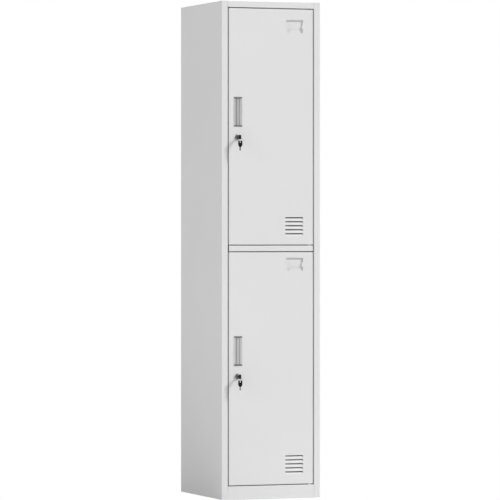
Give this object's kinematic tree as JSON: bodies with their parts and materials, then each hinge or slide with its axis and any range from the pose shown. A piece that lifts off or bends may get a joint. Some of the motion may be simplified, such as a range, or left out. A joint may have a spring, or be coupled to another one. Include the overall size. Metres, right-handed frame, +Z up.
{
  "type": "two-door locker",
  "caption": "Tall steel locker with an upper and a lower compartment, each behind a right-hung door with louvres, card holder, sunk pull and a cam lock with keys.",
  "frame": {"origin": "on the floor, under the middle of the overall box, which includes the keys that stand out", "axes": "+Z up, the doors face -Y, +X to the right for someone who faces the doors"},
  "size_m": [0.38, 0.4878, 1.8],
  "materials": {
    "paint": "light grey powder coat, fine orange peel, half matt",
    "aluminium": "satin, anodised",
    "grey_plastic": "matt",
    "black_plastic": "matt, moulded",
    "zinc": "dull nickel plate on zinc",
    "steel": "bright nickel plate",
    "nylon": "natural nylon",
    "rubber": "matt"
  },
  "bodies": {
    "cabinet": {"left_side_panel": "paint", "right_side_panel": "paint", "back_panel": "paint", "roof_and_header": "paint", "shelf_and_rail": "paint", "floor_and_plinth": "paint", "upper_coat_rod": "steel", "upper_rod_left_socket": "grey_plastic", "upper_rod_right_socket": "grey_plastic", "upper_door_bottom_pin": "steel", "upper_door_top_pin": "steel", "upper_hinge_washer": "nylon", "upper_door_bottom_buffer": "rubber", "upper_door_top_buffer": "rubber", "lower_coat_rod": "steel", "lower_rod_left_socket": "grey_plastic", "lower_rod_right_socket": "grey_plastic", "lower_door_bottom_pin": "steel", "lower_door_top_pin": "steel", "lower_hinge_washer": "nylon", "lower_door_bottom_buffer": "rubber", "lower_door_top_buffer": "rubber"},
    "upper_door": {"upper_door_panel": "paint", "upper_door_stiffener": "paint", "upper_pull_channel": "aluminium", "upper_pull_top_cap": "grey_plastic", "upper_pull_bottom_cap": "grey_plastic", "upper_lock_body": "zinc", "upper_lock_nut": "zinc"},
    "upper_plug": {"upper_lock_plug": "zinc", "upper_lock_cam": "steel", "upper_cam_screw": "steel"},
    "upper_key": {"upper_key_bow": "black_plastic", "upper_key_blade": "steel"},
    "upper_ring": {"upper_key_ring": "steel"},
    "upper_spare_key": {"upper_spare_key_bow": "black_plastic", "upper_spare_key_blade": "steel"},
    "lower_door": {"lower_door_panel": "paint", "lower_door_stiffener": "paint", "lower_pull_channel": "aluminium", "lower_pull_top_cap": "grey_plastic", "lower_pull_bottom_cap": "grey_plastic", "lower_lock_body": "zinc", "lower_lock_nut": "zinc"},
    "lower_plug": {"lower_lock_plug": "zinc", "lower_lock_cam": "steel", "lower_cam_screw": "steel"},
    "lower_key": {"lower_key_bow": "black_plastic", "lower_key_blade": "steel"},
    "lower_ring": {"lower_key_ring": "steel"},
    "lower_spare_key": {"lower_spare_key_bow": "black_plastic", "lower_spare_key_blade": "steel"}
  },
  "joints": [
    {"name": "upper_door_hinge", "type": "hinge", "parent": "cabinet", "child": "upper_door", "pos_m": [0.1494, -0.19861, 0.9202], "axis": [0, 0, 1], "range_deg": [0, 110]},
    {"name": "upper_lock_turn", "type": "hinge", "parent": "upper_door", "child": "upper_plug", "pos_m": [-0.13, -0.20611, 1.3082], "axis": [0, -1, 0], "range_deg": [-90, 0]},
    {"name": "upper_key_slide", "type": "slide", "parent": "upper_plug", "child": "upper_key", "axis": [0, -1, 0], "range_m": [0, 0.006]},
    {"name": "upper_ring_hang", "type": "hinge", "parent": "upper_key", "child": "upper_ring", "pos_m": [-0.13, -0.23661, 1.3002], "axis": [0, -1, 0], "range_deg": [0, 90]},
    {"name": "upper_spare_swing", "type": "hinge", "parent": "upper_ring", "child": "upper_spare_key", "pos_m": [-0.13, -0.23661, 1.28991], "axis": [1, 0, 0], "range_deg": [-30, 25]},
    {"name": "lower_door_hinge", "type": "hinge", "parent": "cabinet", "child": "lower_door", "pos_m": [0.1494, -0.19861, 0.0512], "axis": [0, 0, 1], "range_deg": [0, 110]},
    {"name": "lower_lock_turn", "type": "hinge", "parent": "lower_door", "child": "lower_plug", "pos_m": [-0.13, -0.20611, 0.4442], "axis": [0, -1, 0], "range_deg": [-90, 0]},
    {"name": "lower_key_slide", "type": "slide", "parent": "lower_plug", "child": "lower_key", "axis": [0, -1, 0], "range_m": [0, 0.006]},
    {"name": "lower_ring_hang", "type": "hinge", "parent": "lower_key", "child": "lower_ring", "pos_m": [-0.13, -0.23661, 0.4362], "axis": [0, -1, 0], "range_deg": [0, 90]},
    {"name": "lower_spare_swing", "type": "hinge", "parent": "lower_ring", "child": "lower_spare_key", "pos_m": [-0.13, -0.23661, 0.4259], "axis": [1, 0, 0], "range_deg": [-30, 25]}
  ],
  "couplings": [
    {"joint": "upper_ring_hang", "follows": "upper_lock_turn", "ratio": -1},
    {"joint": "lower_ring_hang", "follows": "lower_lock_turn", "ratio": -1}
  ]
}
